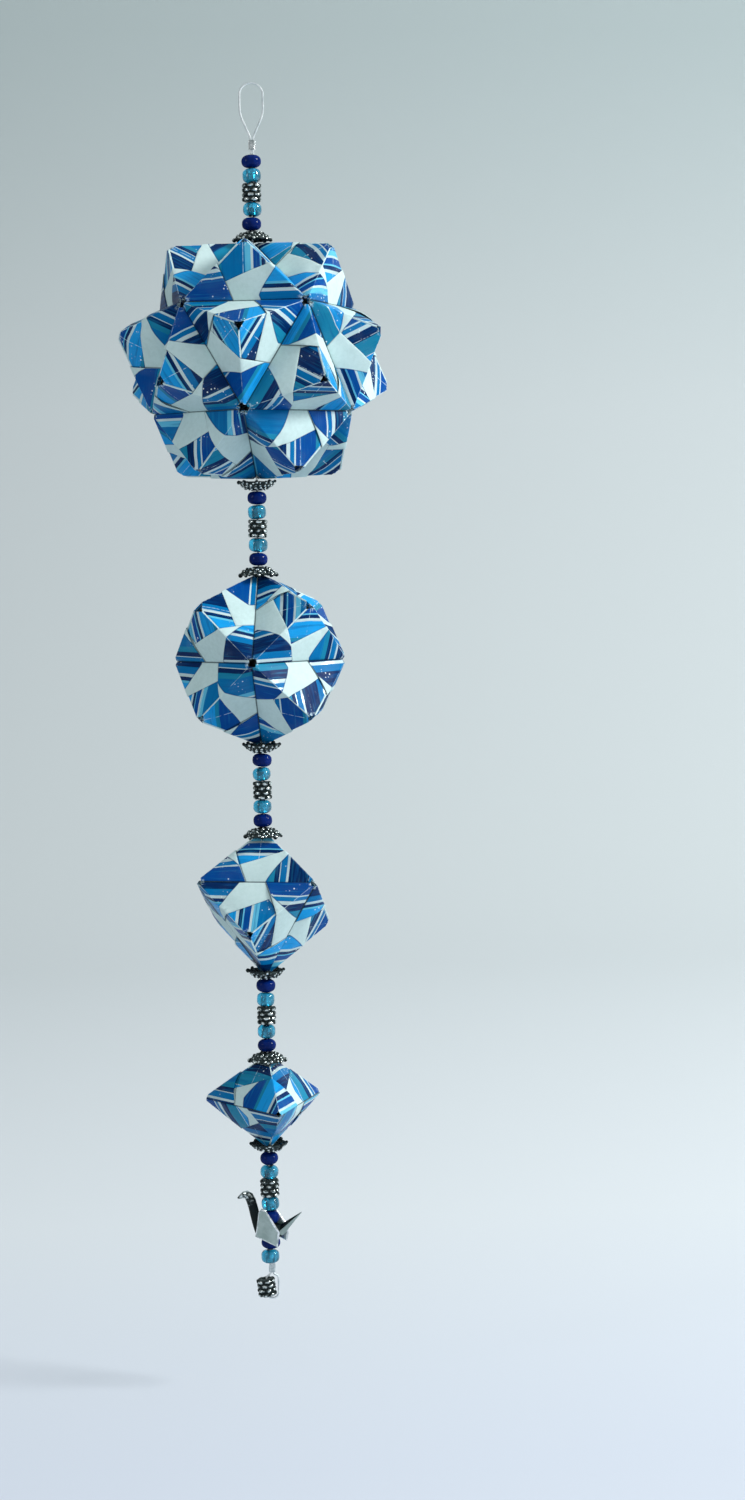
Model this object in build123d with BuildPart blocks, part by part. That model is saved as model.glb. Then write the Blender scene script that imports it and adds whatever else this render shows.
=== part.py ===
from build123d import *
from itertools import combinations
from math import asin, cos, radians, sin, sqrt, tan
import os

# A hanging string of four modular paper forms, threaded on one wire with glass
# beads, silver barrels, bead caps and a cast crane. Each form is a set of equal
# Sonobe units, one square sheet each, which lock by tucking tabs under flaps.
# Millimetres, +Z up. The origin is where the string hangs: inside the top of the
# wire loop. The wire runs down the Z axis, and -Y is the front.

os.makedirs("parts", exist_ok=True)

# Paper: every sheet is a square of this side, folded in quarters across its width
paper_side = 50.0
sheet = 0.1
core_sheets = 3
tab_sheets = 3
fold_width = 0.3
slip = 0.04
corner_cut = 0.8

# How far each form is turned about the wire, in degrees
ball_turn = -133.5
round_turn = -96.6
cube_turn = -44.7
gem_turn = -82.0

# Beading wire and its two loops
wire_diameter = 0.38
wire_sides = 6
strand_gap = 0.06
loop_width = 4.73
loop_height = 11.2
loop_shoulder = 6.0
loop_bend = 5.0
neck_bend = 2.5
shoulder_bend = 0.9
end_bend = 1.2
top_bend_play = 0.06
end_neck = 1.3
end_shift = 1.0
end_slack = 0.55
end_side_play = 0.3

# Crimp tubes, pressed flat over both strands
crimp_height = 1.9
crimp_wall = 0.25
crimp_play = 0.03
crimp_drop = 0.9

# Glass seed beads
bead_diameter = 4.0
dark_height = 2.8
pale_height = 2.9
bead_chamfer = 0.75
bead_sides = 10
bead_hole_play = 0.14
hole_sides = 6
bead_gap = 0.05

# Silver barrel beads
barrel_diameter = 4.1
barrel_height = 3.75
barrel_rows = 4
barrel_knurls = 7
barrel_knurl_depth = 0.4

# Bead caps: a thin petalled dome with a small collar at its crown. The tapers are
# the slopes of its rim, its crown and its ceiling, in degrees
cap_diameter = 8.2
cap_depth = 1.5
cap_wall = 0.4
cap_petals = 8
cap_notch_depth = 0.45
cap_shoulder_height = 0.95
cap_rim_taper = 34
cap_crown_taper = 52
cap_inner_taper = 44
cap_collar_height = 0.3
cap_collar_radius = 1.3
cap_seat_play = 0.05

# Cast crane charm
crane_body_height = 2.5
crane_front = -3.4
crane_back = 3.1
crane_body_taper = 18
crane_turn = -25
wing_thickness = 0.5
wing_lean = 15
wing_foot = 2.25
neck_thickness = 1.1
tail_thickness = 1.0
neck_outline = (
    (-2.0, -0.9),
    (-3.6, -0.7),
    (-4.3, 2.6),
    (-5.1, 5.7),
    (-5.9, 6.5),
    (-7.4, 6.1),
    (-6.8, 7.0),
    (-5.9, 7.8),
    (-4.9, 8.0),
    (-4.1, 7.3),
    (-3.1, 4.6),
    (-2.6, 2.0),
    (-1.9, 0.7),
)
tail_outline = ((1.2, -1.1), (2.3, -1.4), (7.2, 4.4), (2.2, 1.4), (1.2, 1.1))
wing_outline = ((-2.3, -0.9), (2.7, -2.8), (3.4, 0.5), (0.7, 5.6), (0.0, 5.8), (-0.9, 4.8))

# The sheet is folded in quarters, and every seam, leg and flap follows from one quarter
fold = paper_side / 4
seam = 2 * fold
leg = sqrt(2) * fold
pyramid_height = fold * sqrt(2 / 3)
base_inradius = seam / (2 * sqrt(3))
flap_length = seam * (sqrt(2) - 1)

# Heights of the paper layers over the outer plane of a face
tab_base = -tab_sheets * sheet
core_base = tab_base - core_sheets * sheet
flap_base = sheet + slip
flap_top = flap_base + sheet

wire_radius = wire_diameter / 2
tail_offset = wire_diameter + strand_gap
hole_radius = tail_offset + wire_radius + bead_hole_play


def clipped(outline, point, inward):
    """Cuts a convex outline along a line through point and keeps the side that inward points to."""
    kept = []
    depths = [(x - point[0]) * inward[0] + (y - point[1]) * inward[1] for x, y in outline]
    for index, (x, y) in enumerate(outline):
        before = index - 1
        if (depths[before] > 0) != (depths[index] > 0):
            share = depths[before] / (depths[before] - depths[index])
            x0, y0 = outline[before]
            kept.append((x0 + share * (x - x0), y0 + share * (y - y0)))
        if depths[index] > 0:
            kept.append((x, y))
    return kept


# One face of a pyramid, seen from outside: its seam lies along X with the corner
# "start" at the left and "end" at the right, and its right angle is the apex.
start = (-fold, 0.0)
end = (fold, 0.0)
apex = (0.0, fold)
over_seam = (0.0, 1.0)
under_apex = (0.0, -1.0)
from_left_leg = (sqrt(0.5), -sqrt(0.5))
from_right_leg = (-sqrt(0.5), -sqrt(0.5))
left_corner_split = (cos(radians(22.5)), sin(radians(22.5)))
right_corner_split = (-left_corner_split[0], left_corner_split[1])


def moved_along(point, direction, distance):
    """Gives the point at a distance along a direction."""
    return (point[0] + direction[0] * distance, point[1] + direction[1] * distance)


def open_cornered(outline):
    """Cuts the corners of a face back, which leaves the small holes that the wire runs through."""
    outline = clipped(outline, moved_along(start, left_corner_split, corner_cut), left_corner_split)
    outline = clipped(outline, moved_along(end, right_corner_split, corner_cut), right_corner_split)
    return clipped(outline, moved_along(apex, under_apex, corner_cut), under_apex)


face_outline = open_cornered([start, end, apex])

# The unit's own sheet fills its face up to the fold that the next unit's tab comes over
core_outline = clipped(face_outline, moved_along(end, from_right_leg, slip), from_right_leg)

# The own fold beside the left leg
fold_outline = clipped(
    face_outline, moved_along(start, from_left_leg, fold_width), (-from_left_leg[0], -from_left_leg[1])
)

# The pocket's flap is the left corner, as far as the slit that the tab goes into
flap_outline = clipped(
    face_outline, moved_along(start, left_corner_split, flap_length * cos(radians(22.5))),
    (-left_corner_split[0], -left_corner_split[1]),
)
flap_fold = clipped(
    flap_outline, moved_along(start, from_left_leg, fold_width), (-from_left_leg[0], -from_left_leg[1])
)

# The tab of the next unit fills the face as well, from its right leg into the pocket
tab_outline = clipped(
    face_outline, moved_along(start, from_left_leg, fold_width + slip), from_left_leg
)
tab_outline = clipped(tab_outline, (0, slip), over_seam)

# The tab's outer strip is folded over once more, along the seam
under_split = (left_corner_split[1], -left_corner_split[0])
strip_outline = clipped(tab_outline, start, under_split)


def sonobe_unit(seam_distance):
    """Folds one unit with its seam square to +Z, at a distance from the middle of its form."""
    base_distance = sqrt(max(seam_distance**2 - base_inradius**2, 0))
    apex_distance = base_distance + pyramid_height
    apex_point = Vector(0, base_inradius, base_distance) * (apex_distance / seam_distance)
    climb = (apex_point - Vector(0, 0, seam_distance)).normalized()
    outward = Vector(1, 0, 0).cross(climb)
    face_distance = outward.Z * seam_distance
    foot = -climb.Z * seam_distance
    face_plane = Plane(origin=outward * face_distance, x_dir=(1, 0, 0), z_dir=outward)

    def layer(outline, low, high):
        """Lofts an outline between two heights, straight away from the middle of the form."""
        sections = []
        for height in (low, high):
            growth = 1 + height / face_distance
            corners = [(x * growth, (y - foot) * growth) for x, y in outline]
            with BuildSketch(face_plane.offset(height)) as section:
                Polygon(*corners, align=None)
            sections.append(section.sketch)
        loft(sections, ruled=True)

    with BuildPart() as lying_tab:
        layer(tab_outline, tab_base + slip, 0)
        layer(strip_outline, 0, sheet)
    own_tab = lying_tab.part.rotate(Axis((0, 0, 0), apex_point), -120)

    with BuildPart() as half:
        layer(core_outline, core_base, tab_base)
        layer(fold_outline, tab_base, 0)
        layer(flap_fold, 0, flap_base)
        layer(flap_outline, flap_base, flap_top)
        add(own_tab)

    with BuildPart() as unit:
        add(half.part)
        add(half.part.rotate(Axis.Z, 180))
    return unit.part


def ring(count, radius, height, turn):
    """Spaces corners evenly round the wire."""
    angles = [radians(turn + 360 * index / count) for index in range(count)]
    return [Vector(radius * cos(angle), radius * sin(angle), height) for angle in angles]


def write_form(name, corners, middle):
    """Lays a unit on each seam between neighbouring corners and writes each as its own part."""
    seams = [
        pair for pair in combinations(corners, 2) if abs((pair[1] - pair[0]).length - seam) < slip
    ]
    unit = sonobe_unit(((seams[0][0] + seams[0][1]) / 2).length)
    for index, (left, right) in enumerate(seams, 1):
        place = Plane(
            origin=(0, 0, middle), x_dir=right - left, z_dir=(left + right).normalized()
        )
        folded = unit.moved(place.location)
        folded.label = f"{name}_unit_{index:02d}"
        export_step(folded, f"parts/{folded.label}.step")


# Base solids: each has all its sides as long as one seam, and one corner or face
# square to the wire. Their outer radius and the distance of their faces follow.
golden = (1 + sqrt(5)) / 2
ball_radius = seam * sqrt(golden * sqrt(5)) / 2
ball_face = seam * golden**2 / (2 * sqrt(3))
round_radius = seam / sqrt(2)
round_face = seam / sqrt(6)
cube_radius = seam * sqrt(3 / 8)
cube_face = cube_radius / 3
gem_radius = seam / sqrt(3)

ball_ring_height = ball_radius / sqrt(5)
ball_corners = [
    Vector(0, 0, ball_radius),
    *ring(5, 2 * ball_ring_height, ball_ring_height, ball_turn),
    *ring(5, 2 * ball_ring_height, -ball_ring_height, ball_turn + 36),
    Vector(0, 0, -ball_radius),
]
round_corners = [
    Vector(0, 0, round_radius),
    *ring(4, round_radius, 0, round_turn),
    Vector(0, 0, -round_radius),
]
cube_corners = [Vector(0, 0, -cube_radius), *ring(3, gem_radius, cube_face, cube_turn)]
gem_corners = ring(3, gem_radius, 0, gem_turn)


# Where a cap meets a form: the paper falls away from its point along straight ridges
cap_radius = cap_diameter / 2
cap_inner_radius = cap_radius - cap_notch_depth - cap_wall
cap_seat_radius = cap_inner_radius * cos(radians(180 / cap_petals))
cap_crown_height = cap_wall + cap_collar_height


def cap_rise(drop, ridge_cut):
    """Gives the height of a cap's ceiling over the point of the form that it is set down on."""
    slope = asin(drop / leg)
    on_rim = cap_depth - cap_seat_radius * tan(slope)
    on_point = -ridge_cut * sin(slope)
    return max(on_rim, on_point) + cap_seat_play


def face_distance_of(base_face):
    """Gives the distance of the paper faces from the middle of a form."""
    return (base_face + pyramid_height) * base_inradius / fold


def corner_end(base_radius, base_face):
    """Gives the height and the cap's rise at an end that is a corner of the base solid."""
    height = base_radius * (1 + flap_top / face_distance_of(base_face))
    drop = base_radius - (base_face + pyramid_height) * base_face / base_radius
    return height, cap_rise(drop, corner_cut / cos(radians(22.5)))


def apex_end(base_face):
    """Gives the height and the cap's rise at an end that is the apex of a pyramid."""
    height = (base_face + pyramid_height) * (1 + sheet / face_distance_of(base_face))
    return height, cap_rise(pyramid_height, corner_cut * sqrt(2))


# The pieces are threaded from the top down, each under the one before it
heights = {
    "crimp": crimp_height,
    "dark": dark_height,
    "pale": pale_height,
    "barrel": barrel_height,
    "crane": crane_body_height,
}
places = {kind: [] for kind in heights}
caps_over = []
caps_under = []
bead_run = ("dark", "pale", "barrel", "pale", "dark")


def thread(level, *kinds):
    """Puts pieces on the wire from a level down and gives the level under them."""
    for kind in kinds:
        places[kind].append(level - heights[kind] / 2)
        level -= heights[kind] + bead_gap
    return level


def thread_form(level, name, corners, top_end, bottom_end):
    """Puts a paper form with its two caps on the wire and gives the level under them."""
    top_height, top_rise = top_end
    bottom_height, bottom_rise = bottom_end
    caps_over.append(level - cap_crown_height)
    middle = level - cap_crown_height - top_rise - top_height
    caps_under.append(middle - bottom_height - bottom_rise)
    write_form(name, corners, middle)
    return caps_under[-1] - cap_crown_height - bead_gap


level = thread(-loop_height, "crimp") - crimp_drop
level = thread(level, *bead_run)
ball_end = corner_end(ball_radius, ball_face)
level = thread_form(level, "ball", ball_corners, ball_end, ball_end)
level = thread(level, *bead_run)
round_end = corner_end(round_radius, round_face)
level = thread_form(level, "round", round_corners, round_end, round_end)
level = thread(level, *bead_run)
cube_ends = apex_end(cube_face), corner_end(cube_radius, cube_face)
level = thread_form(level, "cube", cube_corners, *cube_ends)
level = thread(level, *bead_run)
level = thread_form(level, "gem", gem_corners, apex_end(0), apex_end(0))
level = thread(level, *bead_run, "crane", "dark", "pale", "crimp")


def write_group(name, piece, locations):
    """Writes equal pieces of the string as one part of separate solids."""
    with BuildPart() as group:
        with Locations(*locations):
            add(piece)
    group.part.label = name
    export_step(group.part, f"parts/{name}.step")


def on_wire(kind):
    """Gives the place of each piece of a kind."""
    return [Location((0, 0, level)) for level in places[kind]]


def bore(height):
    """Cuts the many-sided hole that the wire passes through."""
    with BuildSketch(Plane.XY.offset(-height)) as hole:
        RegularPolygon(hole_radius, hole_sides, major_radius=False)
    extrude(hole.sketch, amount=2 * height, mode=Mode.SUBTRACT)


def glass_bead(height):
    """Makes a seed bead: a many-sided drum with its ends rounded off."""
    with BuildPart() as bead:
        with BuildSketch(Plane.XY.offset(-height / 2)) as drum:
            RegularPolygon(bead_diameter / 2, bead_sides)
        extrude(drum.sketch, amount=height)
        ends = bead.faces().sort_by(Axis.Z)
        chamfer(ends[0].edges() + ends[-1].edges(), bead_chamfer)
        bore(height)
    return bead.part


def petals(count, outer_radius, inner_radius, turn=0):
    """Gives the corners of a star with alternate corners out and in."""
    radii = (outer_radius, inner_radius)
    angles = [radians(turn + 180 * index / count) for index in range(2 * count)]
    return [
        (radii[index % 2] * cos(angle), radii[index % 2] * sin(angle))
        for index, angle in enumerate(angles)
    ]


write_group("dark_seed_beads", glass_bead(dark_height), on_wire("dark"))
write_group("pale_seed_beads", glass_bead(pale_height), on_wire("pale"))

# Silver barrel: rows of raised knurls, each row half a step round from the one under it
with BuildPart() as barrel:
    row_height = barrel_height / barrel_rows
    for row in range(barrel_rows):
        row_turn = row % 2 * 180 / barrel_knurls
        with BuildSketch(Plane.XY.offset(row * row_height - barrel_height / 2)):
            Polygon(
                *petals(
                    barrel_knurls,
                    barrel_diameter / 2,
                    barrel_diameter / 2 - barrel_knurl_depth,
                    row_turn,
                ),
                align=None,
            )
        extrude(amount=row_height)
    bore(barrel_height)

# The wire leaves the lower crimp, runs down through the last barrel and back up beside it.
# That barrel is set to one side, so that the loop hangs evenly under the string
crimp_end_level = places["crimp"][-1] - crimp_height / 2
end_barrel_level = crimp_end_level - end_neck - barrel_height / 2
end_barrel = Location((-end_shift, 0, end_barrel_level))
write_group("silver_barrel_beads", barrel.part, [*on_wire("barrel"), end_barrel])

# Cap: two slopes of petals outside, and one plain slope inside that seats on the paper's ridges
with BuildPart() as bead_cap:
    with BuildSketch(Plane.XY.offset(-cap_depth)):
        Polygon(*petals(cap_petals, cap_radius, cap_radius - cap_notch_depth), align=None)
    extrude(amount=cap_shoulder_height, taper=cap_rim_taper)
    shoulder = bead_cap.faces().sort_by(Axis.Z)[-1]
    extrude(shoulder, amount=cap_depth + cap_wall - cap_shoulder_height, taper=cap_crown_taper)
    with BuildSketch(Plane.XY.offset(-cap_depth)):
        RegularPolygon(cap_inner_radius, cap_petals)
    extrude(amount=cap_depth, taper=cap_inner_taper, mode=Mode.SUBTRACT)
    with BuildSketch(Plane.XY.offset(cap_wall)):
        RegularPolygon(cap_collar_radius, cap_petals)
    extrude(amount=cap_collar_height)
    bore(cap_diameter)
write_group(
    "bead_caps",
    bead_cap.part,
    [Location((0, 0, level)) for level in caps_over]
    + [Location((0, 0, level), (180, 0, 0)) for level in caps_under],
)

# Crimp: a tube pressed flat round the two strands
with BuildPart() as crimp:
    with BuildSketch(Plane.XY.offset(-crimp_height / 2)) as pressed:
        with Locations((tail_offset / 2, 0)):
            crimp_bore = wire_diameter + 2 * crimp_play
            crimp_width = crimp_bore + 2 * crimp_wall
            Rectangle(tail_offset + crimp_width, crimp_width)
            chamfer(pressed.vertices(), crimp_wall)
            Rectangle(tail_offset + crimp_bore, crimp_bore, mode=Mode.SUBTRACT)
    extrude(amount=crimp_height)
write_group("crimp_tubes", crimp.part, on_wire("crimp"))

# Crane: a broad body that the wire runs down through, with two raised wings
crane_level = places["crane"][0]
wing_bottom = wing_outline[1][1]
crane_half_width = wing_foot - wing_bottom * tan(radians(wing_lean)) + wing_thickness / 2
with BuildPart() as crane:
    with BuildSketch():
        Polygon(
            (crane_front, 0), (0, -crane_half_width), (crane_back, 0), (0, crane_half_width), align=None
        )
    extrude(amount=crane_body_height / 2, both=True, taper=crane_body_taper)
    with BuildSketch(Plane.XZ):
        Polygon(*neck_outline, align=None)
    extrude(amount=neck_thickness / 2, both=True)
    with BuildSketch(Plane.XZ):
        Polygon(*tail_outline, align=None)
    extrude(amount=tail_thickness / 2, both=True)
    front_wing = Plane(
        origin=(0, -wing_foot, wing_bottom),
        x_dir=(1, 0, 0),
        z_dir=(0, -cos(radians(wing_lean)), -sin(radians(wing_lean))),
    )
    with BuildSketch(front_wing):
        Polygon(*[(x, z - wing_bottom) for x, z in wing_outline], align=None)
    extrude(amount=wing_thickness)
    mirror(about=Plane.XZ)
    bore(crane_body_height)
write_group("crane_charm", crane.part, [Location((0, 0, crane_level), (0, 0, crane_turn))])

# Wire: up from its tail in the first beads, over the hanging loop, down the whole
# string, round the last barrel and back up into the beads above it
loop_middle = tail_offset / 2
loop_left = loop_middle - loop_width / 2
loop_right = loop_middle + loop_width / 2
neck_level = -loop_height + wire_diameter
upper_tail_level = places["pale"][0] - pale_height / 2
lower_tail_level = places["dark"][-1] + dark_height / 2
lower_neck_level = crimp_end_level - wire_diameter
end_shoulder_level = crimp_end_level - end_neck + wire_diameter
end_bottom_level = end_barrel_level - barrel_height / 2 - end_slack
end_side = barrel_diameter / 2 - end_shift + wire_radius + end_side_play
with BuildPart() as beading_wire:
    with BuildLine(Plane.XZ) as route:
        FilletPolyline(
            (tail_offset, upper_tail_level),
            (tail_offset, neck_level),
            (loop_right, -loop_shoulder),
            (loop_right, wire_radius),
            (loop_left, wire_radius),
            (loop_left, -loop_shoulder),
            (0, neck_level),
            (0, lower_neck_level),
            (-end_shift, end_shoulder_level),
            (-end_shift, end_bottom_level),
            (end_side, end_bottom_level),
            (end_side, end_shoulder_level),
            (tail_offset, lower_neck_level),
            (tail_offset, lower_tail_level),
            radius=[
                neck_bend,
                loop_bend,
                loop_width / 2 - top_bend_play,
                loop_width / 2 - top_bend_play,
                loop_bend,
                neck_bend,
                shoulder_bend,
                shoulder_bend,
                end_bend,
                end_bend,
                shoulder_bend,
                shoulder_bend,
            ],
        )
    with BuildSketch(Plane(origin=route.line @ 0, z_dir=route.line % 0)):
        RegularPolygon(wire_radius, wire_sides)
    sweep()
write_group("beading_wire", beading_wire.part, [Location((0, 0, 0))])
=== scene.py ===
import random
from functools import partial, reduce
from itertools import combinations
from math import cos, hypot, pi, radians, sin, sqrt

import bpy
from mathutils import Matrix, Vector, noise
from mathutils.geometry import delaunay_2d_cdt


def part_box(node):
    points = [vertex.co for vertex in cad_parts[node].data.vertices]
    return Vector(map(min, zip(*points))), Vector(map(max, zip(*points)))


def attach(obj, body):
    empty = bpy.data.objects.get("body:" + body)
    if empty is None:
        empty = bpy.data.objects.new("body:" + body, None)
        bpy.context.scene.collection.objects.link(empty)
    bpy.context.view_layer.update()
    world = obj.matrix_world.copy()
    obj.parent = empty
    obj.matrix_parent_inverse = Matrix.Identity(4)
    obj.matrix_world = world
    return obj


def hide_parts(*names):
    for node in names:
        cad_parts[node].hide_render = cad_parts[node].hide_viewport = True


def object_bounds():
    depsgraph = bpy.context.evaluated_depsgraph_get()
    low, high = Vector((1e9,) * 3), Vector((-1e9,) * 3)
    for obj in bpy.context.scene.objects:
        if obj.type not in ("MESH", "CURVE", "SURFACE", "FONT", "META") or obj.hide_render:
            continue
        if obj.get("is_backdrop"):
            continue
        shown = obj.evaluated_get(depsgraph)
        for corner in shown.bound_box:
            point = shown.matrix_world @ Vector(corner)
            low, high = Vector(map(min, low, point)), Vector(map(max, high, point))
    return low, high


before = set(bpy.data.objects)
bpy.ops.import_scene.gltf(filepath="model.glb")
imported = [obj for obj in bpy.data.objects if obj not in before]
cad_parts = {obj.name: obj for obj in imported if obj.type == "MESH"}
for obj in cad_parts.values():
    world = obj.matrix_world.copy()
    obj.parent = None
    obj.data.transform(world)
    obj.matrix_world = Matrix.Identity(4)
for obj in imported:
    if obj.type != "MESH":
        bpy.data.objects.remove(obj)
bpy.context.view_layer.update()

# All chance comes from this one seeded source
draw = random.Random(20)

# Lengths are millimetres and angles degrees in the frame of the string, with +Z up, the
# wire along Z and -Y the front. Objects are made in metres.
MM = 0.001

# Folds of one square sheet
PAPER_SIDE = 50.0
FOLD = PAPER_SIDE / 4
SEAM = 2 * FOLD
PYRAMID_HEIGHT = FOLD * sqrt(2 / 3)
BASE_INRADIUS = SEAM / (2 * sqrt(3))
FLAP_LENGTH = SEAM * (sqrt(2) - 1)
HALF_CORNER = 22.5

# One face seen from outside: the seam lies along X from start to end, with the apex above.
# Directions point inwards from its two legs and along the lines that halve its corners.
START, END, APEX = (-FOLD, 0.0), (FOLD, 0.0), (0.0, FOLD)
UP, DOWN = (0, 1), (0, -1)
FROM_LEFT = (sqrt(0.5), -sqrt(0.5))
FROM_RIGHT = (-sqrt(0.5), -sqrt(0.5))
START_SPLIT = (cos(radians(HALF_CORNER)), sin(radians(HALF_CORNER)))
END_SPLIT = (-START_SPLIT[0], START_SPLIT[1])
UNDER_SPLIT = (START_SPLIT[1], -START_SPLIT[0])
SLIT_DISTANCE = FLAP_LENGTH * START_SPLIT[0]
# The tab that goes under the next unit's flap is a face turned about the apex
NEXT_FACE_TURN = -120

# Heights of the layers over the outer plane of a face, and their thicknesses
CORE_TOP = -0.3
TAB_TOP = 0.0
STRIP_TOP = 0.1
RIDGE_TOP = 0.16
FLAP_TOP = 0.26
CORE_THICKNESS = 0.3
TAB_THICKNESS = 0.26
FLAP_THICKNESS = 0.11
FOLD_WIDTH = 0.3
SLIP = 0.04

# Liveliness of folded paper: edges that drop and round off (distance from the edge, drop),
# layers that bulge and warp away from their edges, and flaps that lift at the slit
EDGE_DROP = -0.07
ROUNDING = ((0.12, -0.015), (0.4, 0.0))
BULGE = 0.22
WARP = 0.36
WARP_SCALE = 0.11
EDGE_CALM = 3.2
RIDGE_REACH = 1.2
LIP_LIFT = 0.3
LIP_SHARES = (0.2, 1.0)
LIP_WIDTH = 1.6
LIP_FADE = 3
CORNER_CUTS = (0.85, 1.45)
PAPER_CREASE = 35

# Triangles of the paper: their spacing, the shortest side that is kept, how near two points
# are one, and the kind of triangulation that keeps what lies inside the edge
PAPER_SPACING = 1.15
SHORTEST_SIDE = 0.02
SAME_POINT = 1e-5
ONLY_INSIDE = 1

# Four pointed fields of stripes round the middle of the sheet, in quarters of its side
SHEET_MIDDLE = (1, 2)
FIELD_PLACE = 1
FIELD_REACH = 0.93
FIELD_HALF_WIDTH = 0.75
FIELD_POWER = 1.18
PRINT_SHIFT = 0.09
PRINT_SIZES = {"ball": 1.0, "round": 1.05, "cube": 1.07, "gem": 1.25}
STRIPE_TILT = 1.5
STRIPES_START = (0, 200)

# Colours of the print and the paper, with painted glints on the glitter and painted shade in the gaps
NAVY = (0.001, 0.021, 0.10)
ROYAL = (0.001, 0.066, 0.30)
MID = (0.001, 0.165, 0.42)
BRIGHT_BLUE = (0.010, 0.33, 0.76)
TEAL = (0.010, 0.23, 0.39)
PALE = (0.12, 0.52, 0.74)
SILVER = (0.56, 0.71, 0.73)
DEEP_STREAK = (0.004, 0.10, 0.31)
LIGHT_STREAK = (0.02, 0.27, 0.52)
FIELD_RIM = (0.004, 0.04, 0.14)
GLITTER_GLINT = (0.88, 0.99, 1.0)
DIM_WHITE = (0.53, 0.70, 0.69)
PAPER_WHITE = (0.59, 0.765, 0.76)
CLEAR_WHITE = (0.64, 0.81, 0.81)
BARE_FOIL = (0.70, 0.90, 0.96)
GAP_SHADE = (0.006, 0.02, 0.035)

# Widths of the stripes and their colours
STRIPES = (
    (4.2, NAVY), (0.35, SILVER), (1.3, MID), (0.25, SILVER), (0.9, NAVY),
    (1.2, TEAL), (4.6, MID), (1.2, PALE), (0.5, SILVER), (1.3, ROYAL), (0.3, PALE),
    (0.9, NAVY), (0.6, SILVER), (3.4, BRIGHT_BLUE), (0.8, TEAL), (4.6, ROYAL),
    (0.4, SILVER), (0.9, MID), (0.8, SILVER), (2.0, NAVY), (3.2, TEAL),
    (0.3, SILVER), (4.0, BRIGHT_BLUE), (0.5, PALE), (0.8, NAVY), (0.55, SILVER),
    (1.6, MID),
)

# Marks on a face: the distances from its line at which each mark ends and is full
LAYER_EDGE = (0.0, -0.02)
RIDGE_CRACKS = (0.15, 0.03)
STRIP_CRACKS = (0.10, 0.02)
TIP_CRACKS = (8.0, 6.8)
SEAM_END_FRAY = (2.3, 1.1)
TIP_FRAY = (2.2, 1.0)
SLIT_DARK = (-0.36, -0.04)
SEAM_DARK = (0.24, 0.05)
STRIP_DARK = (-0.24, -0.03)
RIDGE_CRUSH = (2.2, 0.2)
TIP_CRUSH = (4.5, 1.0)

# How far each base solid is turned about the wire
BALL_TURN = -133.5
ROUND_TURN = -96.6
CUBE_TURN = -44.7
GEM_TURN = -82.0

# Pieces threaded in one node lie further apart than this, and their own points closer
THREADED_GAP = 2.2

# Wear of a piece that is worn alike all over, from 0, dark, to 1, bright
EVEN_WEAR = 0.6

# Glass beads, with the ranges of their forms and of their seats on the wire
BEAD_HOLE = 0.70
BEAD_SIDE_END = BEAD_HOLE + 0.05
BEAD_SEGMENTS = 40
BEAD_STEPS = 22
BEAD_WALL = (1.0, 0.5, 0.0, -0.5, -1.0)
BEAD_FULLNESS = (0.9, 1.12)
BEAD_WIDTHS = (0.93, 1.0)
BEAD_HEIGHTS = (0.95, 1.0)
BEAD_LEANS = (-5, 5)
BEAD_ASIDES = (-0.12, 0.12)

# Silver barrels: a dark core, as (radius, height), under rows of pillow-shaped knurls
BARREL_HEIGHT, BARREL_ROWS, BARREL_KNURLS = 3.75, 4, 7
BARREL_CORE = ((0.78, -1.8), (1.45, -1.8), (1.62, -1.6), (1.62, 1.6), (1.45, 1.8), (0.78, 1.8))
BARREL_SEGMENTS = 28
KNURL_RADIUS, KNURL_SIZE, KNURL_SHAPE = 1.6, 0.47, (0.9, 1.72, 0.92)
KNURL_RINGS, KNURL_SEGMENTS = 8, 14
BARREL_LEANS = (-2, 2)
BARREL_TURNS = (0, 50)
LAST_BARREL_ASIDE, LAST_BARREL_LEAN = -1.0, -7

# Bead caps: a dark dome and its lining, as (radius, height), under rows of bright grains
# round eight petals, with a collar on top
CAP_DEPTH, CAP_CROWN = 1.5, 0.7
CAP_LINING = ((0.8, 0.42), (0.8, 0.05), (1.9, 0.02), (3.15, -0.75), (3.6, -1.15))
CAP_DOME = ((3.75, -1.05), (3.3, -0.5), (2.0, 0.34), (1.2, 0.40))
CAP_SEGMENTS = 32
GRAIN_ROWS = (
    # radius of the row, height, size, grains, turn in steps of the row
    (3.70, -1.10, 0.44, 8, 0.0),
    (3.40, -0.86, 0.37, 16, 0.5),
    (3.00, -0.42, 0.40, 20, 0.25),
    (2.35, 0.03, 0.40, 15, 0.0),
    (1.68, 0.32, 0.33, 10, 0.5),
)
GRAIN_SIZES = (0.75, 1.15)
GRAIN_LIFTS = (-0.12, 0.10)
COLLAR_RADIUS, COLLAR_HEIGHT, COLLAR_SECTION = 1.0, 0.44, 0.24
COLLAR_SIDES, COLLAR_SEGMENTS = 8, 24
CAP_TURNS = (-6, 6)

# Crane charm, in the XZ plane of its middle before it is turned
CRANE_TURN = -25
CRANE_CREASE = 38
WING_OUTLINE = ((-2.3, -0.9), (2.7, -2.8), (3.4, 0.5), (0.7, 5.6), (0.0, 5.8), (-0.9, 4.8))
WING_BOTTOM, WING_TOP = -2.8, 5.8
WING_SPACING = 0.8
WING_THICKNESS = 0.5
# Layers through a wing: share of its thickness, and how far the outline is drawn in
WING_LAYERS = ((0.0, 0.38), (0.24, 0.08), (0.5, 0.0), (0.76, 0.08), (1.0, 0.38))
WING_FOOT = 2.25
WING_BOW = 0.25
# Near and far wing: outward lean, and sweep back for each millimetre above a height
NEAR, FAR = -1, 1
WING_LEANS = {NEAR: 12, FAR: 4}
WING_SWEEPS = {NEAR: 0.0, FAR: 0.3}
WING_SWEEP_START = -1
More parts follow.
